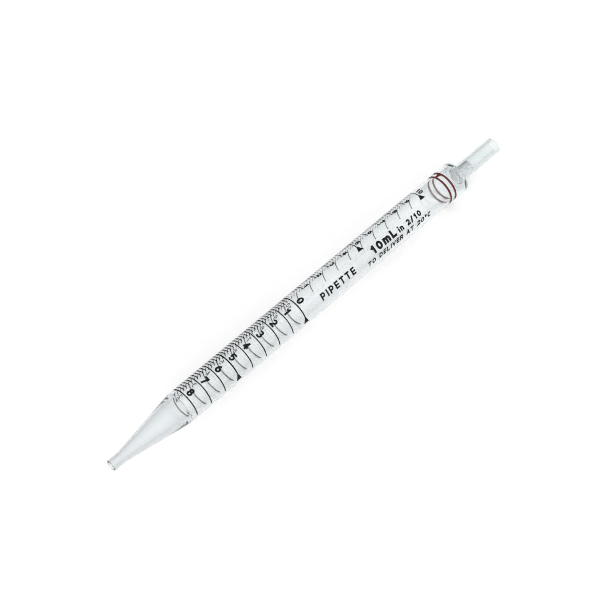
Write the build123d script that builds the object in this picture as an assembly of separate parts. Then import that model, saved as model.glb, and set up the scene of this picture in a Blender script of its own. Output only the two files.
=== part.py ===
from build123d import *
import math
import os

# Short wide-tip 10 mL serological pipette, clear polystyrene.
# It lies along X, the tip towards -X and the mouthpiece towards +X, resting on its weld bead and shoulder.
# The origin is the middle of its length, on the surface that it lies on.

# ---- driving dimensions, millimetres ----
overall_length = 228.7
barrel_radius = 7.3          # outside of the extruded tube
barrel_bore_radius = 6.4
rim_radius = 7.4             # the tip's weld bead and the mouthpiece's shoulder stand proud of the barrel
bead_width = 0.9
barrel_start = 36.0          # stations are measured from the tip's outlet
barrel_end = 202.3
zero_line_station = 102.0

tip_land_length = 5.6
tip_land_radius = 2.5
tip_orifice_radius = 1.7
tip_edge_radius = 0.3
cone_bore_radius = 5.9       # straight bore behind the cone's inside taper
cone_bore_station = 30.3
spigot_length = 1.2          # the tip's short spigot inside the barrel

shoulder_thickness = 1.3
shoulder_edge_radius = 0.9
cap_spigot_length = 0.5
cap_spigot_wall = 0.8
stem_radius = 3.75
stem_bore_radius = 2.9
filter_radius = 2.7          # the bore steps in round the filter plug and holds it
stem_end_edge_radius = 0.3
filter_length = 9.7          # from the shoulder's inner face

ml_volume = 1000.0           # cubic millimetres in 1 mL
minor_per_ml = 5             # 0.2 mL ticks
main_ml_count = 8
upper_ml_count = 10

ink_thickness = 0.05
line_width = 0.5
bold_line_width = 0.6
tick_width = 0.42
upper_line_width = 0.46
upper_tick_width = 0.34
band_width = 1.0
band_stations = (192.3, 195.25)

# ---- where the print sits round the tube, degrees from the front of the print ----
front_angle = 115.0          # the print's front, from +Y towards +Z
main_gap = (63.5, 118.0)     # the main rings are open between these angles
main_tick_span = (-139.0, -41.0)
main_numeral_angle = -16.5
ascending_numeral_angle = -147.5
upper_line_span = (-167.0, -43.0)
upper_tick_span = (-125.0, -62.0)
upper_numeral_angle = -47.0
main_pointer_span = (39.0, 63.5)
upper_pointer_span = (-35.0, -15.0)
capacity_angle = 10.5
interval_angle = 14.5

# ---- glyph sizes ----
main_numeral_height = 3.6
ascending_numeral_height = 2.4
upper_numeral_height = 2.3
capacity_height = 3.6
interval_height = 2.5
capacity_station = 144.4      # where each legend starts
interval_station = 160.8
capacity_length = 14.5
interval_length = 13.7
numeral_gap = 0.8            # between a line and the foot of its numeral
pointer_base = 2.85
stroke_ratio = 0.2           # stroke width over glyph height
digit_pitch_ratio = 0.86     # advance from one digit to the next over glyph height
small_letter_ratio = 0.72    # pen height of a small letter over that of a capital
hook_ratio = 3.6             # radius of the long bow of a 6 or 9 over that of its bowl
wide_letter_share = 1.5      # room that an m takes in a word, an ordinary glyph taking 1
narrow_letter_share = 0.5

# ---- worked out ----
half_length = overall_length / 2
axis_height = rim_radius
ml_pitch = ml_volume / (math.pi * barrel_bore_radius ** 2)
zero_x = zero_line_station - half_length
ink_radius = barrel_radius + ink_thickness


def station_x(station):
    return station - half_length


def lathe(outline, start=0, sweep=360):
    """Turn a closed (x, radius) outline about the axis, from an angle measured from +Y towards +Z."""
    face = make_face(Polyline(outline, close=True))
    solid = revolve(face, axis=Axis.X, revolution_arc=sweep)
    return Pos(0, 0, axis_height) * Rot(start, 0, 0) * solid


def tube(x_from, x_to, outer, inner, start=0, sweep=360):
    outline = [(x_from, inner), (x_to, inner), (x_to, outer), (x_from, outer)]
    return lathe(outline, start, sweep)


def outer_rim(solid, x):
    """The widest circular edge of a turned solid at x."""
    circles = solid.edges().filter_by(GeomType.CIRCLE)
    at_x = circles.filter_by_position(Axis.X, x - 0.01, x + 0.01)
    return at_x.sort_by(SortBy.RADIUS)[-1]


def export(name, shapes):
    """Write one node, made of one solid or several."""
    shapes = list(shapes)
    body = shapes[0] if len(shapes) == 1 else Compound(children=shapes)
    body.label = name
    export_step(body, "parts/" + name + ".step")


# ---- moulded and extruded pieces ----

def barrel_tube():
    return tube(station_x(barrel_start), station_x(barrel_end), barrel_radius, barrel_bore_radius)


def tip_cone():
    x_spigot_end = station_x(barrel_start + spigot_length)
    # the cone's outside runs straight to the barrel's rim, under the bead
    slope = (barrel_radius - tip_land_radius) / (barrel_start - tip_land_length)
    cone_end_radius = barrel_radius - slope * bead_width
    outline = [
        (station_x(0), tip_orifice_radius),
        (station_x(tip_land_length), tip_orifice_radius),
        (station_x(cone_bore_station), cone_bore_radius),
        (x_spigot_end, cone_bore_radius),
        (x_spigot_end, barrel_bore_radius),
        (station_x(barrel_start), barrel_bore_radius),
        (station_x(barrel_start), rim_radius),
        (station_x(barrel_start - bead_width), rim_radius),
        (station_x(barrel_start - bead_width), cone_end_radius),
        (station_x(tip_land_length), tip_land_radius),
        (station_x(0), tip_land_radius),
    ]
    solid = lathe(outline)
    return fillet(outer_rim(solid, station_x(0)), tip_edge_radius)


def mouthpiece():
    x_seat = station_x(barrel_end)
    x_face = station_x(barrel_end + shoulder_thickness)
    x_spigot = station_x(barrel_end - cap_spigot_length)
    x_mouth = station_x(overall_length)
    x_plug_end = station_x(barrel_end + filter_length)
    outline = [
        (x_seat, filter_radius),
        (x_plug_end, filter_radius),
        (x_plug_end, stem_bore_radius),
        (x_mouth, stem_bore_radius),
        (x_mouth, stem_radius),
        (x_face, stem_radius),
        (x_face, rim_radius),
        (x_seat, rim_radius),
        (x_seat, barrel_bore_radius),
        (x_spigot, barrel_bore_radius),
        (x_spigot, barrel_bore_radius - cap_spigot_wall),
        (x_seat, barrel_bore_radius - cap_spigot_wall),
    ]
    solid = lathe(outline)
    solid = fillet(outer_rim(solid, x_face), shoulder_edge_radius)
    return fillet(outer_rim(solid, x_mouth), stem_end_edge_radius)


def filter_plug():
    x_from = station_x(barrel_end)
    plug = Cylinder(filter_radius, filter_length, align=(Align.CENTER, Align.CENTER, Align.MIN))
    plane = Plane(origin=(x_from, 0, axis_height), x_dir=(0, 1, 0), z_dir=(1, 0, 0))
    return plane * plug


# ---- printed films ----

def print_direction(angle):
    turned = math.radians(front_angle + angle)
    return (0, math.cos(turned), math.sin(turned))


def ring_arc(x, width, start, end):
    """A printed line round the tube from one angle to another."""
    turned = front_angle + start
    return tube(x - width / 2, x + width / 2, ink_radius, barrel_radius, turned, end - start)


def colour_band(station):
    x = station_x(station)
    return tube(x - band_width / 2, x + band_width / 2, ink_radius, barrel_radius)


def film(sketch, x, angle, along_tube):
    """Lay a flat sketch on the tube. It reads along +X, or round the tube with its top towards +X."""
    outward = print_direction(angle)
    origin = (x, barrel_radius * outward[1], axis_height + barrel_radius * outward[2])
    round_tube = (0, -outward[2], outward[1])
    reading = (1, 0, 0) if along_tube else round_tube
    plane = Plane(origin=origin, x_dir=reading, z_dir=outward)
    prism = extrude(plane * sketch, amount=1.0, both=True)
    margin = 4 * main_numeral_height
    shell = tube(x - margin, x + margin, ink_radius, barrel_radius)
    return (prism & shell).solids()


def bar(start, end):
    """A straight stroke, as a function of the pen's width."""
    run = Vector(*end) - Vector(*start)
    middle = (Vector(*start) + Vector(*end)) / 2
    turn = math.degrees(math.atan2(run.Y, run.X))
    place = Pos(middle.X, middle.Y) * Rot(0, 0, turn)
    return lambda width: place * SlotCenterToCenter(run.length, width)


def bow(centre, radius, start=0, sweep=360):
    """A round stroke, as a function of the pen's width."""
    def draw(width):
        outer = radius + width / 2
        inner = radius - width / 2
        if sweep == 360:
            return Pos(*centre) * (Circle(outer) - Circle(inner))
        outside = CenterArc(centre, outer, start, sweep)
        inside = CenterArc(centre, inner, start, sweep)
        outline = [outside, Line(outside @ 1, inside @ 1), inside, Line(inside @ 0, outside @ 0)]
        ends = [(outside @ place + inside @ place) / 2 for place in (0, 1)]
        tips = [Pos(end.X, end.Y) * Circle(width / 2) for end in ends]
        return make_face(outline) + tips[0] + tips[1]
    return draw


def strokes(character, tall):
    """The strokes of a plain sans glyph, tall between its lowest and highest pen centres."""
    r = tall / 4
    small = small_letter_ratio * tall
    hook = hook_ratio * r
    hook_sweep = math.degrees(math.asin(3 * r / hook))
    low = (0, r)
    high = (0, 3 * r)
    table = {
        "0": [
            bow(low, r, 180, 180),
            bow(high, r, 0, 180),
            bar((r, r), (r, 3 * r)),
            bar((-r, r), (-r, 3 * r))],
        "1": [bar((0, 0), (0, tall)), bar((0, tall), (-0.9 * r, 3.2 * r))],
        "2": [bow(high, r, -30, 190), bar((0.866 * r, 2.5 * r), (-r, 0)), bar((-r, 0), (r, 0))],
        "3": [bow(low, r, -160, 250), bow(high, r, -90, 250)],
        "4": [
            bar((0.4 * r, 0), (0.4 * r, tall)),
            bar((0.4 * r, tall), (-r, 1.1 * r)),
            bar((-r, 1.1 * r), (1.1 * r, 1.1 * r))],
        "5": [
            bar((0.9 * r, tall), (-0.8 * r, tall)),
            bar((-0.8 * r, tall), (-0.8 * r, 1.6 * r)),
            bow(low, r, -160, 303)],
        "6": [bow(low, r), bow((hook - r, r), hook, 180 - hook_sweep, hook_sweep)],
        "7": [bar((-r, tall), (r, tall)), bar((r, tall), (-0.3 * r, 0))],
        "8": [bow(low, r), bow(high, r)],
        "9": [bow(high, r), bow((r - hook, 3 * r), hook, -hook_sweep, hook_sweep)],
        "m": [
            bar((-1.6 * r, 0), (-1.6 * r, small)),
            bar((0, 0), (0, small - 0.8 * r)),
            bar((1.6 * r, 0), (1.6 * r, small - 0.8 * r)),
            bow((-0.8 * r, small - 0.8 * r), 0.8 * r, 0, 180),
            bow((0.8 * r, small - 0.8 * r), 0.8 * r, 0, 180)],
        "L": [bar((-r, 0), (-r, tall)), bar((-r, 0), (r, 0))],
        "i": [bar((0, 0), (0, small - 0.2 * r)), bar((0, tall - 0.1 * r), (0, tall))],
        "n": [
            bar((-0.9 * r, 0), (-0.9 * r, small)),
            bar((0.9 * r, 0), (0.9 * r, small - 0.9 * r)),
            bow((0, small - 0.9 * r), 0.9 * r, 0, 180)],
        "/": [bar((-0.8 * r, 0), (0.8 * r, tall))],
    }
    return table[character]


def glyph(character, height):
    """A plain sans glyph with round pen ends, its foot on y = 0 and centred on x = 0."""
    width = stroke_ratio * height
    drawn = Sketch()
    for stroke in strokes(character, height - width):
        drawn += stroke(width)
    return Pos(0, width / 2) * drawn


def share(character):
    """The room that a glyph takes in a word."""
    if character == "m":
        return wide_letter_share
    return narrow_letter_share if character in "i /" else 1.0


def word(text, height, length):
    """Glyphs in a row from x = 0 to x = length, centred on y = 0."""
    advance = length / sum(share(character) for character in text)
    row = []
    x = 0
    for character in text:
        room = advance * share(character)
        if character != " ":
            row.append(Pos(x + room / 2, -height / 2) * glyph(character, height))
        x += room
    return row


def numeral(number, height, x, angle):
    """A numeral whose foot is at x and whose top points to the mouthpiece."""
    text = str(number)
    advance = digit_pitch_ratio * height
    solids = []
    for place, character in enumerate(text):
        shift = (place - (len(text) - 1) / 2) * advance
        turned = angle + math.degrees(shift / barrel_radius)
        solids += film(glyph(character, height), x, turned, along_tube=False)
    return solids


def legend(text, height, length, station, angle):
    solids = []
    for sketch in word(text, height, length):
        solids += film(sketch, station_x(station), angle, along_tube=True)
    return solids


def pointer(x, span, tip_width):
    """An arrowhead at the end of a line: it starts as wide as the line and its flat base ends the mark."""
    start, end = span
    reach = math.radians(end - start) * barrel_radius / 2
    base = pointer_base / 2
    tip = tip_width / 2
    outline = [(-reach, -tip), (reach, -base), (reach, base), (-reach, tip)]
    head = make_face(Polyline(outline, close=True))
    return film(head, x, (start + end) / 2, along_tube=False)


def main_ring_lines():
    solids = []
    for ml in range(main_ml_count + 1):
        bold = ml % 5 == 0
        width = bold_line_width if bold else line_width
        end = main_pointer_span[0] if bold else main_gap[0]
        solids.append(ring_arc(zero_x - ml * ml_pitch, width, main_gap[1], 360 + end))
    return solids


def fifth_ticks(x_first, count, width, span):
    """Short lines at every fifth of a millilitre, leaving out the whole ones."""
    solids = []
    for step in range(1, count * minor_per_ml):
        if step % minor_per_ml:
            solids.append(ring_arc(x_first + step * ml_pitch / minor_per_ml, width, *span))
    return solids


def main_numerals():
    solids = []
    for ml in range(main_ml_count + 1):
        x = zero_x - ml * ml_pitch + numeral_gap
        solids += numeral(ml, main_numeral_height, x, main_numeral_angle)
    return solids


def ascending_numerals():
    solids = []
    for ml in range(main_ml_count + 1):
        x = zero_x - ml * ml_pitch + numeral_gap
        solids += numeral(10 - ml, ascending_numeral_height, x, ascending_numeral_angle)
    return solids


def upper_ml_lines():
    solids = []
    for ml in range(1, upper_ml_count + 1):
        end = upper_pointer_span[0] if ml % 5 == 0 else upper_line_span[1]
        solids.append(ring_arc(zero_x + ml * ml_pitch, upper_line_width, upper_line_span[0], end))
    return solids


def upper_numerals():
    solids = []
    for ml in range(1, upper_ml_count + 1):
        x = zero_x + ml * ml_pitch + numeral_gap
        solids += numeral(ml, upper_numeral_height, x, upper_numeral_angle)
    return solids


def pointer_marks():
    solids = []
    for ml in (0, 5):
        solids += pointer(zero_x - ml * ml_pitch, main_pointer_span, bold_line_width)
    for ml in (5, 10):
        solids += pointer(zero_x + ml * ml_pitch, upper_pointer_span, upper_line_width)
    return solids


os.makedirs("parts", exist_ok=True)
x_eight = zero_x - main_ml_count * ml_pitch
export("barrel_tube", [barrel_tube()])
export("tip_cone", [tip_cone()])
export("mouthpiece", [mouthpiece()])
export("filter_plug", [filter_plug()])
export("main_ring_lines", main_ring_lines())
export("main_fifth_ticks", fifth_ticks(x_eight, main_ml_count, tick_width, main_tick_span))
export("main_numerals", main_numerals())
export("ascending_numerals", ascending_numerals())
export("upper_ml_lines", upper_ml_lines())
export("upper_fifth_ticks", fifth_ticks(zero_x, upper_ml_count, upper_tick_width, upper_tick_span))
export("upper_numerals", upper_numerals())
export("pointer_marks", pointer_marks())
export("capacity_legend", legend(
    "10mL", capacity_height, capacity_length, capacity_station, capacity_angle))
export("interval_legend", legend(
    "in 2/10", interval_height, interval_length, interval_station, interval_angle))
export("colour_band_lower", [colour_band(band_stations[0])])
export("colour_band_upper", [colour_band(band_stations[1])])
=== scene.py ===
import math

import bmesh
import bpy
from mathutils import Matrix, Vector, geometry, noise


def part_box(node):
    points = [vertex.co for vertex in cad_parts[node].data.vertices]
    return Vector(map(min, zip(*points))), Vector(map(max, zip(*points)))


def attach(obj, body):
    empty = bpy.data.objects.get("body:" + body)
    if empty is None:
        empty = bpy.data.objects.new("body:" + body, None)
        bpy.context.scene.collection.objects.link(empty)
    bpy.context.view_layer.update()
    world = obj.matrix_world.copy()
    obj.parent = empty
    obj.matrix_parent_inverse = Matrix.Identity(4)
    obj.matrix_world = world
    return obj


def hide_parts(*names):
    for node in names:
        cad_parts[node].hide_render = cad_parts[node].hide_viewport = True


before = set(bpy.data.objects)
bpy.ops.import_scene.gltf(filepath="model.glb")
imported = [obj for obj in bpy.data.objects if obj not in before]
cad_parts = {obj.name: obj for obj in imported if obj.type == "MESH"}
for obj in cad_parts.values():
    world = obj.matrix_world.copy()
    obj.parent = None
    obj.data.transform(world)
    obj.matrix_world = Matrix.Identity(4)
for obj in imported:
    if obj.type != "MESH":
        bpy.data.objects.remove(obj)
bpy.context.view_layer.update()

MM = 0.001

# ------------------------------------------------ measures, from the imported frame, in metres

barrel_low, barrel_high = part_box("barrel_tube")
tip_low, tip_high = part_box("tip_cone")
mouth_low, mouth_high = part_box("mouthpiece")
filter_low, filter_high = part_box("filter_plug")
lines_low, lines_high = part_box("main_ring_lines")
lower_band_low, lower_band_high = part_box("colour_band_lower")
upper_band_low, upper_band_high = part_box("colour_band_upper")

AXIS_Y = 0.0
BARREL_R = round((barrel_high.z - barrel_low.z) / 2, 5)
SHOULDER_R = round((mouth_high.z - mouth_low.z) / 2, 5)
AXIS_Z = SHOULDER_R
BARREL_WALL = 0.9 * MM
BORE_R = BARREL_R - BARREL_WALL

X_TIP = tip_low.x
X_BARREL = barrel_low.x
X_SPIGOT = tip_high.x                     # the tip's spigot ends here, inside the barrel
X_BARREL_END = barrel_high.x
X_CAP_SPIGOT = mouth_low.x                # and the mouthpiece's spigot starts here
X_MOUTH = mouth_high.x
X_FILTER = filter_low.x
X_FILTER_END = filter_high.x
FILTER_R = round((filter_high.z - filter_low.z) / 2, 5)

LINE_WIDTH = 0.50 * MM
BOLD_LINE_WIDTH = 0.60 * MM
X_EIGHT = lines_low.x + LINE_WIDTH / 2
X_ZERO = lines_high.x - BOLD_LINE_WIDTH / 2
MAIN_COUNT = 8
UPPER_COUNT = 10
BOLD_EVERY = 5                   # mL between the marks that have a pointer
ML = (X_ZERO - X_EIGHT) / MAIN_COUNT

# ---- the clear mouldings ----
TIP_LAND = 5.6 * MM
TIP_LAND_R = 2.5 * MM
TIP_ORIFICE_R = 1.7 * MM
CONE_BORE_R = 5.9 * MM
X_CONE_BORE = X_TIP + 30.3 * MM
SHOULDER_LENGTH = 1.3 * MM
SHOULDER_FOOT = 0.3 * MM         # the shoulder starts to swell this far from the barrel's end
SHOULDER_FOOT_RISE = 0.02 * MM
PLUG_STEP = 0.3 * MM             # length of the bore's narrowing behind the filter
CAP_SPIGOT_WALL = 0.8 * MM
STEM_R = 3.75 * MM
STEM_BORE_R = 2.9 * MM
JOINT_GAP = 0.01 * MM            # between a spigot and the barrel's bore
WELD_REACH = 0.02 * MM           # how near to a weld's own plane a face counts as fused
LATHE_SIDES = 192                # round a turned moulding
SUPPORT_REACH = 0.12 * MM        # an extra ring this near to each end of a long side keeps the shading true
LONGEST_SIDE = 4.0 * MM
SHARP_ANGLE = 35.0               # degrees between faces, above which an edge is drawn sharp

# ---- the filter's fibre ----
FILTER_GAP = 0.06 * MM           # between the plug's lumpy surface and the stem's bore
FILTER_AXIS_R = 0.02 * MM        # the plug's end faces close in to this
FILTER_ROUND = 0.5 * MM
FILTER_STEP = 0.3 * MM           # between the rings that carry the lumps
FILTER_SIDES = 96
FILTER_FLAT_R = 0.5 * MM         # no lumps this near to the axis
LUMP_DEPTH = 0.12 * MM

# ---- the print's places: angles in degrees round the tube from the print's front, from and to ----
FRONT_ANGLE = 115.0              # the print's front, from +Y towards +Z
MAIN_GAP = (63.5, 118.0)         # where the full rings are left open
MAIN_TICKS = (-139.0, -41.0)
UPPER_LINES = (-167.0, -43.0)
UPPER_TICKS = (-125.0, -62.0)
MAIN_POINTER = (39.0, 63.5)
UPPER_POINTER = (-35.0, -15.0)
MAIN_NUMERAL_ANGLE = -16.5
ASCENDING_NUMERAL_ANGLE = -147.5
UPPER_NUMERAL_ANGLE = -47.0
CAPACITY_ANGLE = 10.5
INTERVAL_ANGLE = 14.5
PRODUCT_ANGLE = 22.0
CALIBRATION_ANGLE = 43.0
BAND_JOIN_ANGLE = -47.0

# ---- and along the tube, in mL above the zero line ----
CAPACITY_SPAN = (5.44, 7.34)
INTERVAL_SPAN = (7.55, 9.35)
PRODUCT_SPAN = (1.40, 4.0)
CALIBRATION_SPAN = (4.85, 9.88)

# ---- its lettering: a figure's height and width, and the width of its strokes ----
MAIN_FIGURE = (3.65 * MM, 2.45 * MM, 0.84 * MM)
ASCENDING_FIGURE = (2.5 * MM, 1.6 * MM, 0.46 * MM)
UPPER_FIGURE = (2.5 * MM, 1.7 * MM, 0.64 * MM)
CAPACITY_LETTER = (3.85 * MM, 3.1 * MM, 1.08 * MM)
INTERVAL_LETTER = (2.7 * MM, 2.0 * MM, 0.72 * MM)
PRODUCT_LETTER = (3.4 * MM, 2.45 * MM, 0.74 * MM)
CALIBRATION_LETTER = (2.2 * MM, 1.95 * MM, 0.56 * MM)
CALIBRATION_SLANT = 0.3          # sideways over up

TICK_WIDTH = 0.42 * MM
UPPER_LINE_WIDTH = 0.46 * MM
UPPER_TICK_WIDTH = 0.34 * MM
POINTER_BASE = 2.85 * MM
BAND_JOIN_SIDE = 0.8 * MM        # about half as wide as the run of ink between the bands
NUMERAL_GAP = 0.8 * MM
NUMERAL_SPACE = 0.3 * MM         # between the two figures of a 10
MINOR_PER_ML = 5

INK_LOW = 0.004 * MM             # ink film, from the barrel's surface
INK_HIGH = 0.045 * MM
INK_WIDTH_WANDER = 0.10          # how much a line's width and place wander, as a share of its width
INK_PLACE_WANDER = 0.05
ARC_STEP = 2.0                   # degrees between the points of a printed arc
BOW_STEP = 18.0                  # and of a glyph's curve
SMALL_LETTER = 0.72              # small letters' height over capitals'
SLICE = 0.3 * MM                 # flat print is sliced this fine before it is bent round the tube

# ---- finishes ----
PLASTIC_IOR = 1.59
INK_IOR = 1.5
INK_GLOSS = 0.15
EXTRUDED = ((0.01, 0.03), (0.03, 1, 1), 0.05)  # roughness, and the stretch and depth of the flow lines
MOULDED = ((0.03, 0.08), (0.25, 1, 1), 0.10)
CLEAR_TINTS = ((0.98, 0.985, 0.99), (0.99, 0.995, 1.0))
EDGE_TINT = 0.82                 # how dark a wall gets where a glance runs along it
EDGE_START = 0.45                # where that starts and is full: 0 is a wall seen square-on, 1 edge-on
EDGE_FULL = 0.95
SHADED_SIDE = (0.0, 0.906, 0.423)  # painted shade: the filter's fibre is painted darker towards this side and lighter away from it
MOUTH_HAZE = (X_BARREL_END + 1.4 * MM, 5.0, X_BARREL_END + 2.4 * MM, 1.0)  # the shoulder is less polished

# ---- stage ----
FLOOR_SIZE = 3.0
SOFTBOX_PLACE = (0.0, -0.6, 1.5)
SOFTBOX_SIZE = 1.5
SOFTBOX_POWER = 1.7
BRIGHT_SKY = (-0.15, -0.45, 0.88)  # towards the brightest part of the studio's dome
DIM_STRENGTH = 0.21
BRIGHT_STRENGTH = 1.44
VIEW_FROM = (-0.3914, -0.3890, 0.8339)
VIEW_DISTANCE = 86.6 * ML
VIEW_AIM = (X_ZERO + 0.758 * ML, 0.0, AXIS_Z)
VIEW_LENS = 94.83


# ------------------------------------------------ meshes

BORE_INDEX = 1                   # places of the bore's and the weld's materials on a moulding's mesh
WELD_INDEX = 2
TOWARDS_AXIS = -0.3              # a face belongs to the bore if its normal's outward part is below this


def add_piece(name, bm, material, replaces=(), bore=None, welds=()):
    """Finish a bmesh into a smooth piece that rides on the root body.

    bore is the material of the faces that look at the axis. welds lists (x, x, radius, radius) ranges:
    the faces there are fused to another piece.
    """
    bmesh.ops.recalc_face_normals(bm, faces=bm.faces)
    if bore:
        for face in bm.faces:
            centre = face.calc_center_median()
            across = Vector((0.0, centre.y - AXIS_Y, centre.z - AXIS_Z))
            fused = any(
                x_low <= centre.x <= x_high and r_low <= across.length <= r_high
                for x_low, x_high, r_low, r_high in welds)
            if fused:
                face.material_index = WELD_INDEX
            elif face.normal.dot(across.normalized()) < TOWARDS_AXIS:
                face.material_index = BORE_INDEX
    mesh = bpy.data.meshes.new(name)
    for face in bm.faces:
        face.smooth = True
    for edge in bm.edges:
        if len(edge.link_faces) == 2 and edge.calc_face_angle() > math.radians(SHARP_ANGLE):
            edge.smooth = False
    bm.to_mesh(mesh)
    bm.free()
    mesh.materials.append(material)
    if bore:
        mesh.materials.append(bore)
        mesh.materials.append(WELD)
    piece = bpy.data.objects.new(name, mesh)
    bpy.context.scene.collection.objects.link(piece)
    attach(piece, "root")
    if replaces:
        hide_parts(*replaces)
    return piece


def on_tube(x, angle, radius):
    """A point at an angle, in degrees from the print's front, and a distance from the axis."""
    turned = math.radians(FRONT_ANGLE + angle)
    return Vector((x, AXIS_Y + radius * math.cos(turned), AXIS_Z + radius * math.sin(turned)))


def soften(corners, steps=5):
    """Round an outline. Each corner is (x, distance from the axis, its own rounding)."""
    result = []
    count = len(corners)
    for i, (x, height, radius) in enumerate(corners):
        here = Vector((x, height))
        if radius == 0.0:
            result.append(here[:])
            continue
        before = (Vector(corners[i - 1][:2]) - here).normalized()
        after = (Vector(corners[(i + 1) % count][:2]) - here).normalized()
        half = before.angle(after) / 2
        reach = radius / math.tan(half)
        centre = here + (before + after).normalized() * (radius / math.sin(half))
        start = here + before * reach - centre
        end = here + after * reach - centre
        for k in range(steps + 1):
            spoke = start.slerp(end, k / steps).normalized() * radius
            result.append((centre.x + spoke.x, centre.y + spoke.y))
    return result


def support(outline):
    """Split an outline's long sides, close to their ends and along their length."""
    result = []
    count = len(outline)
    for i in range(count):
        start = Vector(outline[i])
        side = Vector(outline[(i + 1) % count]) - start
        result.append((start.x, start.y))
        if side.length < 4 * SUPPORT_REACH:
            continue
        pieces = max(1, math.ceil(side.length / LONGEST_SIDE))
        near_end = SUPPORT_REACH / side.length
        shares = [near_end] + [k / pieces for k in range(1, pieces)] + [1 - near_end]
        result += [(start + side * share)[:] for share in shares]
    return result


def lathe(outline, sides=LATHE_SIDES, wobble=None):
    """Turn a closed outline of (x, radius) points about the tube's axis."""
    outline = support(outline)
    bm = bmesh.new()
    rings = []
    for k in range(sides):
        angle = 360.0 * k / sides
        ring = []
        for x, radius in outline:
            grown = radius + (wobble(x, radius, angle) if wobble else 0.0)
            ring.append(bm.verts.new(on_tube(x, angle, grown)))
        rings.append(ring)
    count = len(outline)
    for k in range(sides):
        here = rings[k]
        there = rings[(k + 1) % sides]
        for i in range(count):
            j = (i + 1) % count
            bm.faces.new((here[i], here[j], there[j], there[i]))
    return bm


def arc_film(bm, x, width, start, end):
    """A printed line round the tube, with a slightly domed top and an edge that isn't quite even."""
    steps = max(2, math.ceil((end - start) / ARC_STEP))
    full = abs(end - start - 360.0) < 1e-6
    previous = None
    first = None
    for k in range(steps + (0 if full else 1)):
        angle = start + (end - start) * k / steps
        seed = Vector((x / MM * 1.7, math.cos(math.radians(angle)) * 6, math.sin(math.radians(angle)) * 6))
        half = width / 2 * (1.0 + INK_WIDTH_WANDER * noise.noise(seed))
        shift = width * INK_PLACE_WANDER * noise.noise(seed + Vector((31.0, 7.0, 3.0)))
        section = (
            (-half, INK_LOW), (-half, INK_HIGH * 0.7), (-half * 0.6, INK_HIGH),
            (half * 0.6, INK_HIGH), (half, INK_HIGH * 0.7), (half, INK_LOW))
        ring = [bm.verts.new(on_tube(x + shift + dx, angle, BARREL_R + dr)) for dx, dr in section]
        if previous:
            for i in range(len(ring)):
                j = (i + 1) % len(ring)
                bm.faces.new((previous[i], previous[j], ring[j], ring[i]))
        else:
            first = ring
        previous = ring
    if full:
        for i in range(len(first)):
            j = (i + 1) % len(first)
            bm.faces.new((previous[i], previous[j], first[j], first[i]))
    else:
        bm.faces.new(list(reversed(first)))
        bm.faces.new(previous)


def bend_film(bm, flat, x, angle, along_tube):
    """Bend flat faces round the tube as an ink film. They read along the tube, or round it."""
    reach = max((abs(v.co.x if not along_tube else v.co.y) for v in flat.verts), default=0.0)
    normal = Vector((0, 1, 0)) if along_tube else Vector((1, 0, 0))
    cuts = math.ceil(reach / SLICE)
    for k in range(-cuts, cuts + 1):
        parts = flat.verts[:] + flat.edges[:] + flat.faces[:]
        bmesh.ops.bisect_plane(flat, geom=parts, plane_co=normal * (k * SLICE), plane_no=normal, dist=1e-7)
    bmesh.ops.triangulate(flat, faces=[f for f in flat.faces if len(f.verts) > 4])
    places = {}
    for v in flat.verts:
        along, round_it = (v.co.x, -v.co.y) if along_tube else (v.co.y, v.co.x)
        turned = angle + math.degrees(round_it / BARREL_R)
        low = bm.verts.new(on_tube(x + along, turned, BARREL_R + INK_LOW))
        high = bm.verts.new(on_tube(x + along, turned, BARREL_R + INK_HIGH))
        places[v] = (low, high)
    for face in flat.faces:
        bm.faces.new([places[v][1] for v in face.verts])
        bm.faces.new([places[v][0] for v in reversed(face.verts)])
    for edge in flat.edges:
        if len(edge.link_faces) == 1:
            a, b = edge.verts
            bm.faces.new((places[a][0], places[b][0], places[b][1], places[a][1]))
    flat.free()


def bar(start, end):
    """A straight stroke between two pen centres: its points, and that it ends half a pen further."""
    return [start, end], True


def bow(centre, across, up, start, end):
    """A stroke along an oval, from one angle to another in degrees anticlockwise from +X."""
    steps = max(4, math.ceil(abs(end - start) / BOW_STEP))
    points = []
    for k in range(steps + 1):
        turned = math.radians(start + (end - start) * k / steps)
        points.append((centre[0] + across * math.cos(turned), centre[1] + up * math.sin(turned)))
    return points, False


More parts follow.
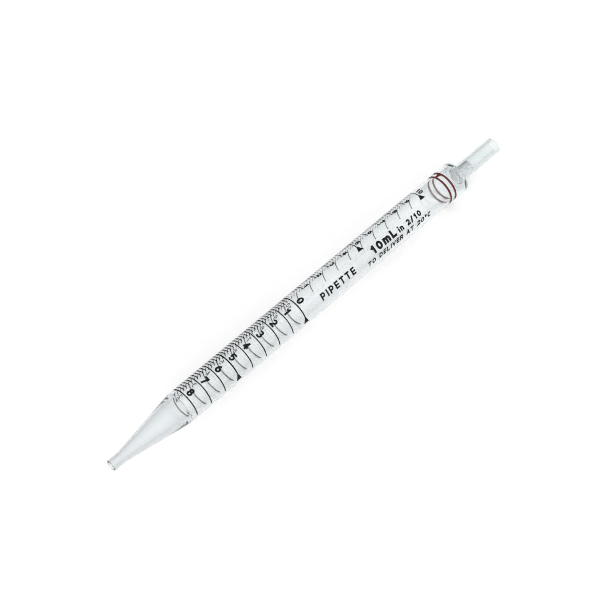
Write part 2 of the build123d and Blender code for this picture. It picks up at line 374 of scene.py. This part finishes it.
def glyph(character, w, h):
    """A bold grotesque glyph of height h: its strokes, and the width that its pen centres span."""
    x = SMALL_LETTER * h
    if character == "0":
        return [bow((w / 2, h / 2), w / 2, h / 2, 0, 360)], w
    if character == "1":
        return [
            bar((0.55 * w, 0), (0.55 * w, h)), bar((0.5 * w, 0.95 * h), (0.15 * w, 0.78 * h))], 0.75 * w
    if character == "2":
        turn = bow((w / 2, 0.70 * h), w / 2, 0.30 * h, 165, -38)
        return [turn, bar(turn[0][-1], (0.08 * w, 0.04 * h)), bar((0.08 * w, 0), (w, 0))], w
    if character == "3":
        return [
            bow((0.45 * w, 0.755 * h), 0.48 * w, 0.245 * h, 155, -90),
            bow((0.45 * w, 0.265 * h), 0.55 * w, 0.265 * h, 90, -155)], w
    if character == "4":
        return [
            bar((0.70 * w, 0), (0.70 * w, h)), bar((0.66 * w, h), (0.04 * w, 0.32 * h)),
            bar((0.02 * w, 0.26 * h), (w, 0.26 * h))], w
    if character == "5":
        return [
            bar((0.90 * w, h), (0.12 * w, h)), bar((0.12 * w, h), (0.06 * w, 0.52 * h)),
            bow((0.46 * w, 0.32 * h), 0.54 * w, 0.32 * h, 130, -150)], w
    if character in "69":
        hook = bow((0.98 * w, 0.32 * h), 0.98 * w, 0.68 * h, 180, 100)
        strokes = [bow((w / 2, 0.31 * h), w / 2, 0.31 * h, 0, 360), hook]
        if character == "9":
            strokes = [([(w - px, h - py) for px, py in points], capped) for points, capped in strokes]
        return strokes, w
    if character == "7":
        return [bar((0, h), (w, h)), bar((0.96 * w, h), (0.34 * w, 0))], w
    if character == "8":
        return [
            bow((w / 2, 0.765 * h), 0.44 * w, 0.235 * h, 0, 360),
            bow((w / 2, 0.265 * h), w / 2, 0.265 * h, 0, 360)], w
    if character == "m":
        arch = 0.36 * w
        foot = x - 0.3 * h
        strokes = [bar((0, 0), (0, x))]
        for k in (1, 3):
            strokes.append(bow((k * arch, foot), arch, 0.3 * h, 180, 0))
            strokes.append(bar(((k + 1) * arch, 0), ((k + 1) * arch, foot)))
        return strokes, 4 * arch
    if character == "n":
        return [
            bar((0, 0), (0, x)), bow((0.42 * w, x - 0.3 * h), 0.42 * w, 0.3 * h, 180, 0),
            bar((0.84 * w, 0), (0.84 * w, x - 0.3 * h))], 0.84 * w
    if character == "i":
        return [bar((0, 0), (0, 0.88 * x)), bar((0, 1.12 * h), (0, 1.14 * h))], 0.0
    if character == "/":
        return [bar((0, -0.05 * h), (0.75 * w, 1.05 * h))], 0.75 * w
    if character == "°":
        return [bow((0.2 * w, 0.84 * h), 0.2 * w, 0.16 * h, 0, 360)], 0.4 * w
    if character == "L":
        return [bar((0, 0), (0, h)), bar((0, 0), (0.85 * w, 0))], 0.85 * w
    if character == "I":
        return [bar((0, 0), (0, h))], 0.0
    if character == "T":
        return [bar((0, h), (w, h)), bar((w / 2, 0), (w / 2, h))], w
    if character == "E":
        return [bar((0, 0), (0, h))] + [bar((0, y), (0.8 * w, y)) for y in (0, h / 2, h)], 0.8 * w
    if character in "PR":
        strokes = [
            bar((0, 0), (0, h)), bar((0, h), (0.5 * w, h)), bar((0, 0.45 * h), (0.5 * w, 0.45 * h)),
            bow((0.55 * w, 0.725 * h), 0.4 * w, 0.275 * h, 90, -90)]
        if character == "R":
            strokes.append(bar((0.55 * w, 0.42 * h), (0.95 * w, 0)))
        return strokes, 0.95 * w
    if character == "D":
        return [
            bar((0, 0), (0, h)), bar((0, h), (0.35 * w, h)), bar((0, 0), (0.35 * w, 0)),
            bow((0.4 * w, h / 2), 0.65 * w, h / 2, 90, -90)], 1.05 * w
    if character == "O":
        return [bow((0.57 * w, h / 2), 0.57 * w, h / 2, 0, 360)], 1.14 * w
    if character == "C":
        return [bow((0.57 * w, h / 2), 0.57 * w, h / 2, 45, 315)], w
    if character == "A":
        return [
            bar((0, 0), (0.52 * w, h)), bar((0.52 * w, h), (1.04 * w, 0)),
            bar((0.25 * w, 0.32 * h), (0.79 * w, 0.32 * h))], 1.04 * w
    if character == "V":
        return [bar((0, h), (0.52 * w, 0)), bar((0.52 * w, 0), (1.04 * w, h))], 1.04 * w
    return [], 0.4 * w


def stroke_cells(points, capped, pen):
    """The flat cells that a pen's stroke covers, one for each length of its line."""
    places = [Vector(point) for point in points]
    closed = (places[0] - places[-1]).length < 1e-9
    if capped:
        along = (places[1] - places[0]).normalized() * (pen / 2)
        places = [places[0] - along, places[1] + along]
    sides = []
    last = len(places) - 1
    for k, place in enumerate(places):
        before = places[k - 1] if k > 0 else (places[last - 1] if closed else place)
        after = places[k + 1] if k < last else (places[1] if closed else place)
        along = (after - before).normalized()
        side = Vector((-along.y, along.x)) * (pen / 2)
        sides.append((place + side, place - side))
    return [[sides[k][0], sides[k][1], sides[k + 1][1], sides[k + 1][0]] for k in range(last)]


def flat_text(text, letter, gap, slant=0.0):
    """Text as flat faces that start at x = 0 and stand on y = 0, with a gap between its glyphs."""
    height, width, pen = letter
    bm = bmesh.new()
    x = pen / 2
    for character in text:
        strokes, wide = glyph(character, width - pen, height - pen)
        corners = []
        cells = []
        for points, capped in strokes:
            for cell in stroke_cells(points, capped, pen):
                cells.append(list(range(len(corners), len(corners) + len(cell))))
                corners += cell
        if cells:
            # the union of the strokes, as triangles
            places, _, faces, _, _, sources = geometry.delaunay_2d_cdt(corners, [], cells, 1, 1e-8)
            made = [
                bm.verts.new((x + place.x + slant * place.y, place.y + pen / 2, 0.0)) for place in places]
            for face, source in zip(faces, sources):
                if source:
                    bm.faces.new([made[k] for k in face])
        x += wide + pen + gap
    loose = [v for v in bm.verts if not v.link_faces]
    bmesh.ops.delete(bm, geom=loose, context="VERTS")
    bmesh.ops.recalc_face_normals(bm, faces=bm.faces)
    return bm


def flat_polygon(points):
    bm = bmesh.new()
    bm.faces.new([bm.verts.new((x, y, 0.0)) for x, y in points])
    return bm


def flat_width(flat):
    return max(v.co.x for v in flat.verts) - min(v.co.x for v in flat.verts)


# ------------------------------------------------ materials

def new_material(name):
    """A material with a single Principled shader: (material, node tree, shader, output)."""
    material = bpy.data.materials.new(name)
    material.use_nodes = True
    tree = material.node_tree
    tree.nodes.clear()
    output = tree.nodes.new("ShaderNodeOutputMaterial")
    shader = tree.nodes.new("ShaderNodeBsdfPrincipled")
    tree.links.new(shader.outputs[0], output.inputs[0])
    return material, tree, shader, output


def pattern(tree, scale, stretch=(1, 1, 1), detail=4.0):
    """A noise over the object's own coordinates, stretched along its axes."""
    place = tree.nodes.new("ShaderNodeTexCoord")
    mapping = tree.nodes.new("ShaderNodeMapping")
    mapping.inputs["Scale"].default_value = stretch
    tree.links.new(place.outputs["Object"], mapping.inputs["Vector"])
    texture = tree.nodes.new("ShaderNodeTexNoise")
    texture.inputs["Scale"].default_value = scale
    texture.inputs["Detail"].default_value = detail
    tree.links.new(mapping.outputs["Vector"], texture.inputs["Vector"])
    return texture.outputs[0]


def spread(tree, value, low, high):
    """Map a noise, most of which lies between 0.3 and 0.7, to a range."""
    return map_range(tree, value, 0.3, 0.7, low, high)


def tones(tree, value, dark, light):
    """Map a noise to the colours between a dark and a light tint."""
    node = tree.nodes.new("ShaderNodeValToRGB")
    node.color_ramp.elements[0].position = 0.35
    node.color_ramp.elements[0].color = (*dark, 1)
    node.color_ramp.elements[1].position = 0.65
    node.color_ramp.elements[1].color = (*light, 1)
    tree.links.new(value, node.inputs["Fac"])
    return node.outputs["Color"]


def map_range(tree, value, from_low, from_high, to_low, to_high):
    node = tree.nodes.new("ShaderNodeMapRange")
    node.inputs["From Min"].default_value = from_low
    node.inputs["From Max"].default_value = from_high
    node.inputs["To Min"].default_value = to_low
    node.inputs["To Max"].default_value = to_high
    tree.links.new(value, node.inputs["Value"])
    return node.outputs["Result"]


def scaled(tree, colour, factor):
    node = tree.nodes.new("ShaderNodeVectorMath")
    node.operation = "SCALE"
    tree.links.new(colour, node.inputs[0])
    tree.links.new(factor, node.inputs["Scale"])
    return node.outputs["Vector"]


def bump(tree, shader, value, strength, distance):
    node = tree.nodes.new("ShaderNodeBump")
    node.inputs["Strength"].default_value = strength
    node.inputs["Distance"].default_value = distance
    tree.links.new(value, node.inputs["Height"])
    tree.links.new(node.outputs["Normal"], shader.inputs["Normal"])


def along_tube_ramp(tree, x_from, value_from, x_to, value_to):
    """A value that changes steadily between two places along the tube."""
    place = tree.nodes.new("ShaderNodeTexCoord")
    parts = tree.nodes.new("ShaderNodeSeparateXYZ")
    tree.links.new(place.outputs["Object"], parts.inputs[0])
    return map_range(tree, parts.outputs["X"], x_from, x_to, value_from, value_to)


def product(tree, value, factor):
    node = tree.nodes.new("ShaderNodeMath")
    node.operation = "MULTIPLY"
    tree.links.new(value, node.inputs[0])
    tree.links.new(factor, node.inputs[1])
    return node.outputs[0]


def clear_plastic(name, tints, finish, edge=1.0, along=None, haze=None):
    """Clear polystyrene with the fine flow lines of its making.

    edge is how much darker it is where a glance runs along the wall, through more plastic. along and haze
    are (x, factor there, x, factor there): the tint changes steadily between two places along the tube, and
    the roughness a moulding that is less polished in one place.
    """
    roughness, stretch, relief = finish
    material, tree, shader, output = new_material(name)
    shader.inputs["Transmission Weight"].default_value = 1.0
    shader.inputs["IOR"].default_value = PLASTIC_IOR
    colour = tones(tree, pattern(tree, 90.0, stretch), *tints)
    if edge < 1.0:
        grazing = tree.nodes.new("ShaderNodeLayerWeight")
        grazing.inputs["Blend"].default_value = 0.5
        depth = map_range(tree, grazing.outputs["Facing"], EDGE_START, EDGE_FULL, 1.0, edge)
        colour = scaled(tree, colour, depth)
    if along:
        colour = scaled(tree, colour, along_tube_ramp(tree, *along))
    tree.links.new(colour, shader.inputs["Base Color"])
    polish = spread(tree, pattern(tree, 260.0, stretch), *roughness)
    if haze:
        polish = product(tree, polish, along_tube_ramp(tree, *haze))
    tree.links.new(polish, shader.inputs["Roughness"])
    bump(tree, shader, pattern(tree, 420.0, stretch, 3.0), relief, 0.02 * MM)
    passing = tree.nodes.new("ShaderNodeBsdfTransparent")
    path = tree.nodes.new("ShaderNodeLightPath")
    unseen = tree.nodes.new("ShaderNodeMath")
    unseen.operation = "MAXIMUM"
    tree.links.new(path.outputs["Is Shadow Ray"], unseen.inputs[0])
    tree.links.new(path.outputs["Is Diffuse Ray"], unseen.inputs[1])
    mix = tree.nodes.new("ShaderNodeMixShader")
    tree.links.new(unseen.outputs[0], mix.inputs[0])
    tree.links.new(shader.outputs[0], mix.inputs[1])
    tree.links.new(passing.outputs[0], mix.inputs[2])
    tree.links.new(mix.outputs[0], output.inputs[0])
    return material


def fused_plastic(name, dark, light):
    """The inside of a weld: light goes straight on from plastic to plastic, through faint flow marks."""
    material, tree, shader, output = new_material(name)
    passing = tree.nodes.new("ShaderNodeBsdfTransparent")
    tree.links.new(tones(tree, pattern(tree, 900.0), dark, light), passing.inputs["Color"])
    tree.nodes.remove(shader)
    tree.links.new(passing.outputs[0], output.inputs[0])
    return material


def printed_ink(name, dark, light, roughness):
    """Screen-printed ink: nearly even, with faint mottling and a slightly orange-peel gloss."""
    material, tree, shader, _ = new_material(name)
    tree.links.new(tones(tree, pattern(tree, 1500.0), dark, light), shader.inputs["Base Color"])
    tree.links.new(spread(tree, pattern(tree, 2200.0), *roughness), shader.inputs["Roughness"])
    shader.inputs["IOR"].default_value = INK_IOR
    shader.inputs["Specular IOR Level"].default_value = INK_GLOSS
    bump(tree, shader, pattern(tree, 3200.0), 0.25, 0.01 * MM)
    return material


def filter_fibre(name):
    """White polyester fibre: matt, with the shadows of its strands, and painted shade that darkens it
    towards one side and lightens it towards the other.
    """
    material, tree, shader, _ = new_material(name)
    strands = pattern(tree, 1400.0, (0.35, 1, 1), 6.0)
    place = tree.nodes.new("ShaderNodeTexCoord")
    across = tree.nodes.new("ShaderNodeVectorMath")
    across.operation = "DOT_PRODUCT"
    across.inputs[1].default_value = SHADED_SIDE
    tree.links.new(place.outputs["Object"], across.inputs[0])
    middle = AXIS_Z * SHADED_SIDE[2]
    # painted shade and light: the fibre's colour is scaled darker on the shaded side, lighter on the other
    painted_shade = map_range(tree, across.outputs["Value"], middle - FILTER_R, middle + FILTER_R, 1.25, 0.72)
    fibre = scaled(tree, tones(tree, strands, (0.36, 0.385, 0.39), (0.62, 0.645, 0.65)), painted_shade)
    tree.links.new(fibre, shader.inputs["Base Color"])
    tree.links.new(spread(tree, strands, 0.7, 0.95), shader.inputs["Roughness"])
    shader.inputs["Sheen Weight"].default_value = 0.3
    bump(tree, shader, strands, 0.6, 0.15 * MM)
    return material


def pale_floor(name):
    """White paper, matt and almost even."""
    material, tree, shader, _ = new_material(name)
    paper = tones(tree, pattern(tree, 6.0), (0.86, 0.86, 0.86), (0.88, 0.88, 0.88))
    tree.links.new(paper, shader.inputs["Base Color"])
    shader.inputs["Roughness"].default_value = 0.9
    shader.inputs["Specular IOR Level"].default_value = 0.0
    return material


BARREL_OUTSIDE = clear_plastic(
    "barrel_outside", ((0.795, 0.83, 0.84), (0.825, 0.86, 0.87)), EXTRUDED,
    EDGE_TINT, (X_BARREL, 0.97, X_BARREL_END, 1.08))
BARREL_BORE = clear_plastic("barrel_bore", CLEAR_TINTS, EXTRUDED)
TIP_OUTSIDE = clear_plastic(
    "tip_outside", ((0.715, 0.75, 0.765), (0.755, 0.79, 0.805)), MOULDED,
    EDGE_TINT, (X_TIP, 0.88, X_BARREL, 1.0))
TIP_BORE = clear_plastic("tip_bore", CLEAR_TINTS, MOULDED)
MOUTH_OUTSIDE = clear_plastic(
    "mouthpiece_outside", ((0.69, 0.75, 0.755), (0.73, 0.79, 0.795)), MOULDED,
    along=(X_BARREL_END, 1.22, X_BARREL_END + 3.0 * MM, 1.0), haze=MOUTH_HAZE)
MOUTH_BORE = clear_plastic("mouthpiece_bore", CLEAR_TINTS, MOULDED, haze=MOUTH_HAZE)
WELD = fused_plastic("weld_inside", (0.97, 0.975, 0.98), (1.0, 1.0, 1.0))
BLACK_INK = printed_ink("black_print", (0.004, 0.004, 0.005), (0.007, 0.007, 0.008), (0.5, 0.65))
RED_INK = printed_ink("red_print", (0.090, 0.018, 0.014), (0.125, 0.026, 0.020), (0.45, 0.6))
FILTER_FIBRE = filter_fibre("filter_fibre")


# ------------------------------------------------ mouldings and filter

def make_barrel():
    outline = [
        (X_BARREL, BORE_R),
        (X_BARREL, BARREL_R),
        (X_BARREL_END, BARREL_R),
        (X_BARREL_END, BORE_R),
        (X_CAP_SPIGOT, BORE_R),
        (X_SPIGOT, BORE_R),
    ]
    welds = [
        (X_BARREL - WELD_REACH, X_BARREL + WELD_REACH, 0.0, BARREL_R),
        (X_BARREL, X_SPIGOT, 0.0, BORE_R + WELD_REACH),
        (X_CAP_SPIGOT, X_BARREL_END, 0.0, BORE_R + WELD_REACH),
        (X_BARREL_END - WELD_REACH, X_BARREL_END + WELD_REACH, 0.0, BARREL_R)]
    return add_piece(
        "barrel", lathe(outline), BARREL_OUTSIDE, ["barrel_tube"], BARREL_BORE, welds)


def make_tip():
    corners = [
        (X_TIP, TIP_ORIFICE_R, 0.12 * MM),
        (X_TIP, TIP_LAND_R, 0.3 * MM),
        (X_TIP + TIP_LAND, TIP_LAND_R, 6.0 * MM),
        (X_BARREL, BARREL_R, 0.0),
        (X_BARREL, BORE_R - JOINT_GAP, 0.0),
        (X_SPIGOT, BORE_R - JOINT_GAP, 0.0),
        (X_SPIGOT, CONE_BORE_R, 0.3 * MM),
        (X_CONE_BORE, CONE_BORE_R, 60.0 * MM),
        (X_TIP + TIP_LAND, TIP_ORIFICE_R, 5.0 * MM),
    ]
    welds = [
        (X_BARREL - WELD_REACH, X_BARREL + WELD_REACH, BORE_R, BARREL_R),
        (X_BARREL, X_SPIGOT - WELD_REACH, BORE_R - 2 * JOINT_GAP, BORE_R)]
    return add_piece(
        "tip", lathe(soften(corners)), TIP_OUTSIDE, ["tip_cone"], TIP_BORE, welds)


def make_mouthpiece():
    x_face = X_BARREL_END + SHOULDER_LENGTH
    spigot_bore = BORE_R - CAP_SPIGOT_WALL
    corners = [
        (X_BARREL_END, FILTER_R, 0.2 * MM),
        (X_FILTER_END, FILTER_R, 0.0),
        (X_FILTER_END + PLUG_STEP, STEM_BORE_R, 0.0),
        (X_MOUTH, STEM_BORE_R, 0.38 * MM),
        (X_MOUTH, STEM_R, 0.42 * MM),
        (x_face, STEM_R, 0.5 * MM),
        (x_face, SHOULDER_R, 0.9 * MM),
        (X_BARREL_END + SHOULDER_FOOT, BARREL_R + SHOULDER_FOOT_RISE, 0.0),
        (X_BARREL_END, BARREL_R, 0.0),
        (X_BARREL_END, BORE_R - JOINT_GAP, 0.0),
        (X_CAP_SPIGOT, BORE_R - JOINT_GAP, 0.0),
        (X_CAP_SPIGOT, spigot_bore, 0.2 * MM),
        (X_BARREL_END, spigot_bore, 0.4 * MM),
    ]
    welds = [
        (X_BARREL_END - WELD_REACH, X_BARREL_END + WELD_REACH, BORE_R, BARREL_R),
        (X_CAP_SPIGOT + WELD_REACH, X_BARREL_END, BORE_R - 2 * JOINT_GAP, BORE_R)]
    return add_piece(
        "mouth", lathe(soften(corners)), MOUTH_OUTSIDE, ["mouthpiece"],
        MOUTH_BORE, welds)


def make_filter():
    """A fibre plug: a rounded core with soft lumps over its surface."""
    radius = FILTER_R - FILTER_GAP
    outline = soften([
        (X_FILTER, FILTER_AXIS_R, 0.0), (X_FILTER, radius, FILTER_ROUND),
        (X_FILTER_END, radius, FILTER_ROUND), (X_FILTER_END, FILTER_AXIS_R, 0.0)])
    full = []
    for (xa, ra), (xb, rb) in zip(outline, outline[1:]):
        pieces = max(1, round(math.hypot(xb - xa, rb - ra) / FILTER_STEP))
        full += [(xa + (xb - xa) * k / pieces, ra + (rb - ra) * k / pieces) for k in range(pieces)]
    full.append(outline[-1])

    def lumps(x, r, angle):
        if r < FILTER_FLAT_R:
            return 0.0
        turned = math.radians(angle)
        place = Vector((x / MM * 1.2, math.cos(turned) * r / MM * 2.2, math.sin(turned) * r / MM * 2.2))
        return -LUMP_DEPTH * abs(noise.noise(place))

    return add_piece(
        "filter_core", lathe(full, FILTER_SIDES, lumps), FILTER_FIBRE, ["filter_plug"])


# ------------------------------------------------ print

def main_ring_lines():
    """The rings of the main scale: a bold one ends early, where its pointer carries it on."""
    bm = bmesh.new()
    for ml in range(MAIN_COUNT + 1):
        bold = ml % BOLD_EVERY == 0
        end = MAIN_POINTER[0] if bold else MAIN_GAP[0]
        arc_film(bm, X_ZERO - ml * ML, BOLD_LINE_WIDTH if bold else LINE_WIDTH, MAIN_GAP[1], 360 + end)
    add_piece("main_lines", bm, BLACK_INK, ["main_ring_lines"])


def fifth_ticks(name, node, x_first, count, width, span):
    """The short ticks between the mL lines, over a number of mL."""
    bm = bmesh.new()
    for step in range(1, count * MINOR_PER_ML):
        if step % MINOR_PER_ML:
            arc_film(bm, x_first + step * ML / MINOR_PER_ML, width, *span)
    add_piece(name, bm, BLACK_INK, [node])


def upper_lines():
    bm = bmesh.new()
    for ml in range(1, UPPER_COUNT + 1):
        end = UPPER_POINTER[0] if ml % BOLD_EVERY == 0 else UPPER_LINES[1]
        arc_film(bm, X_ZERO + ml * ML, UPPER_LINE_WIDTH, UPPER_LINES[0], end)
    add_piece("upper_lines", bm, BLACK_INK, ["upper_ml_lines"])


def numerals(name, node, labels, letter, angle):
    """Numerals that stand on their lines, tops towards the mouthpiece. Each label is (x, number)."""
    bm = bmesh.new()
    for x, number in labels:
        flat = flat_text(str(number), letter, NUMERAL_SPACE)
        middle = flat_width(flat) / 2 + min(v.co.x for v in flat.verts)
        for v in flat.verts:
            v.co.x -= middle
        bend_film(bm, flat, x + NUMERAL_GAP, angle, along_tube=False)
    add_piece(name, bm, BLACK_INK, [node])


def pointers():
    """Wedges that widen from the end of a marked line."""
    bm = bmesh.new()
    marks = [
        (X_ZERO - ml * ML, MAIN_POINTER, BOLD_LINE_WIDTH) for ml in range(0, MAIN_COUNT + 1, BOLD_EVERY)]
    marks += [
        (X_ZERO + ml * ML, UPPER_POINTER, UPPER_LINE_WIDTH)
        for ml in range(BOLD_EVERY, UPPER_COUNT + 1, BOLD_EVERY)]
    for x, (start, end), tip in marks:
        reach = math.radians(end - start) * BARREL_R / 2
        points = [
            (-reach, -tip / 2), (reach, -POINTER_BASE / 2), (reach, POINTER_BASE / 2), (-reach, tip / 2)]
        bend_film(bm, flat_polygon(points), x, (start + end) / 2, along_tube=False)
    add_piece("pointers", bm, BLACK_INK, ["pointer_marks"])


def legend(name, text, span, letter, angle, slant=0.0, replaces=()):
    """A line of lettering that fills a span along the tube, its middle at an angle round the tube."""
    x_start, x_end = (X_ZERO + ml * ML for ml in span)
    natural = flat_text(text, letter, 0.0, slant)
    gap = (x_end - x_start - flat_width(natural)) / (len(text) - 1)
    natural.free()
    flat = flat_text(text, letter, gap, slant)
    for v in flat.verts:
        v.co.y -= letter[0] / 2
    bm = bmesh.new()
    bend_film(bm, flat, x_start, angle, along_tube=True)
    add_piece(name, bm, BLACK_INK, list(replaces))


def colour_band(name, node, low, high):
    bm = bmesh.new()
    arc_film(bm, (low.x + high.x) / 2, high.x - low.x, 0.0, 360.0)
    add_piece(name, bm, RED_INK, [node])


def band_join():
    """Where the bands' print closes: a run of ink between them."""
    bm = bmesh.new()
    x_from = (lower_band_low.x + lower_band_high.x) / 2
    reach = (upper_band_low.x + upper_band_high.x) / 2 - x_from
    side = BAND_JOIN_SIDE
    outline = [
        (0.1 * reach, 0.9 * side), (0.45 * reach, 0.8 * side), (0.75 * reach, 1.5 * side),
        (reach, 2.4 * side), (reach, -1.9 * side), (0.7 * reach, -1.2 * side),
        (0.4 * reach, -0.7 * side), (0.1 * reach, -0.8 * side)]
    bend_film(bm, flat_polygon(outline), x_from, BAND_JOIN_ANGLE, along_tube=True)
    add_piece("band_join", bm, RED_INK)


make_barrel()
make_tip()
make_mouthpiece()
make_filter()

main_ring_lines()
fifth_ticks("main_ticks", "main_fifth_ticks", X_EIGHT, MAIN_COUNT, TICK_WIDTH, MAIN_TICKS)
fifth_ticks("upper_ticks", "upper_fifth_ticks", X_ZERO, UPPER_COUNT, UPPER_TICK_WIDTH, UPPER_TICKS)
upper_lines()
main_marks = [(X_ZERO - ml * ML, ml) for ml in range(MAIN_COUNT + 1)]
ascending_marks = [(x, UPPER_COUNT - ml) for x, ml in main_marks]
upper_marks = [(X_ZERO + ml * ML, ml) for ml in range(1, UPPER_COUNT + 1)]
numerals("main_figures", "main_numerals", main_marks, MAIN_FIGURE, MAIN_NUMERAL_ANGLE)
numerals(
    "ascending_figures", "ascending_numerals", ascending_marks, ASCENDING_FIGURE, ASCENDING_NUMERAL_ANGLE)
numerals("upper_figures", "upper_numerals", upper_marks, UPPER_FIGURE, UPPER_NUMERAL_ANGLE)
pointers()
legend(
    "capacity_text", "10mL", CAPACITY_SPAN, CAPACITY_LETTER, CAPACITY_ANGLE, replaces=["capacity_legend"])
legend(
    "interval_text", "in 2/10", INTERVAL_SPAN, INTERVAL_LETTER, INTERVAL_ANGLE,
    replaces=["interval_legend"])
legend("product_word", "PIPETTE", PRODUCT_SPAN, PRODUCT_LETTER, PRODUCT_ANGLE)
legend(
    "calibration_text", "TO DELIVER AT 20°C", CALIBRATION_SPAN, CALIBRATION_LETTER, CALIBRATION_ANGLE,
    CALIBRATION_SLANT)
colour_band("band_lower", "colour_band_lower", lower_band_low, lower_band_high)
colour_band("band_upper", "colour_band_upper", upper_band_low, upper_band_high)
band_join()


# ------------------------------------------------ stage, light and camera

def make_floor():
    bm = bmesh.new()
    bmesh.ops.create_grid(bm, x_segments=8, y_segments=8, size=FLOOR_SIZE)
    mesh = bpy.data.meshes.new("floor")
    bm.to_mesh(mesh)
    bm.free()
    mesh.materials.append(pale_floor("floor_paper"))
    floor = bpy.data.objects.new("floor", mesh)
    bpy.context.scene.collection.objects.link(floor)


def make_softbox():
    data = bpy.data.lights.new("softbox", "AREA")
    data.shape = "SQUARE"
    data.size = SOFTBOX_SIZE
    data.energy = SOFTBOX_POWER
    light = bpy.data.objects.new("softbox", data)
    light.location = SOFTBOX_PLACE
    light.rotation_euler = (-Vector(SOFTBOX_PLACE)).to_track_quat("-Z", "Y").to_euler()
    bpy.context.scene.collection.objects.link(light)


def make_world():
    """A soft dome of light, brightest overhead and on the camera's side, darker low on the far side."""
    world = bpy.data.worlds.new("studio")
    world.use_nodes = True
    tree = world.node_tree
    background = tree.nodes["Background"]
    place = tree.nodes.new("ShaderNodeTexCoord")
    towards = tree.nodes.new("ShaderNodeVectorMath")
    towards.operation = "DOT_PRODUCT"
    towards.inputs[1].default_value = Vector(BRIGHT_SKY).normalized()
    dome = tree.nodes.new("ShaderNodeMapRange")
    dome.interpolation_type = "SMOOTHSTEP"
    dome.inputs["From Min"].default_value = -0.1
    dome.inputs["From Max"].default_value = 0.75
    dome.inputs["To Min"].default_value = DIM_STRENGTH
    dome.inputs["To Max"].default_value = BRIGHT_STRENGTH
    tree.links.new(place.outputs["Generated"], towards.inputs[0])
    tree.links.new(towards.outputs["Value"], dome.inputs["Value"])
    tree.links.new(dome.outputs["Result"], background.inputs["Strength"])
    background.inputs["Color"].default_value = (1.0, 1.0, 1.0, 1)
    bpy.context.scene.world = world


def make_camera():
    view_from = Vector(VIEW_FROM).normalized()
    data = bpy.data.cameras.new("camera")
    data.lens = VIEW_LENS
    data.sensor_width = 36.0
    data.clip_start = 0.01
    camera = bpy.data.objects.new("camera", data)
    camera.location = Vector(VIEW_AIM) + view_from * VIEW_DISTANCE
    camera.rotation_euler = (-view_from).to_track_quat("-Z", "Y").to_euler()
    bpy.context.scene.collection.objects.link(camera)
    bpy.context.scene.camera = camera


make_floor()
make_softbox()
make_world()
make_camera()
bpy.context.scene.view_settings.view_transform = "Standard"

# the print is crisp, and light crosses many clear walls before it reaches the camera
bpy.context.scene.cycles.filter_width = 1.0
bpy.context.scene.cycles.max_bounces = 32
bpy.context.scene.cycles.transmission_bounces = 32
bpy.context.scene.cycles.glossy_bounces = 16
bpy.context.scene.cycles.transparent_max_bounces = 32
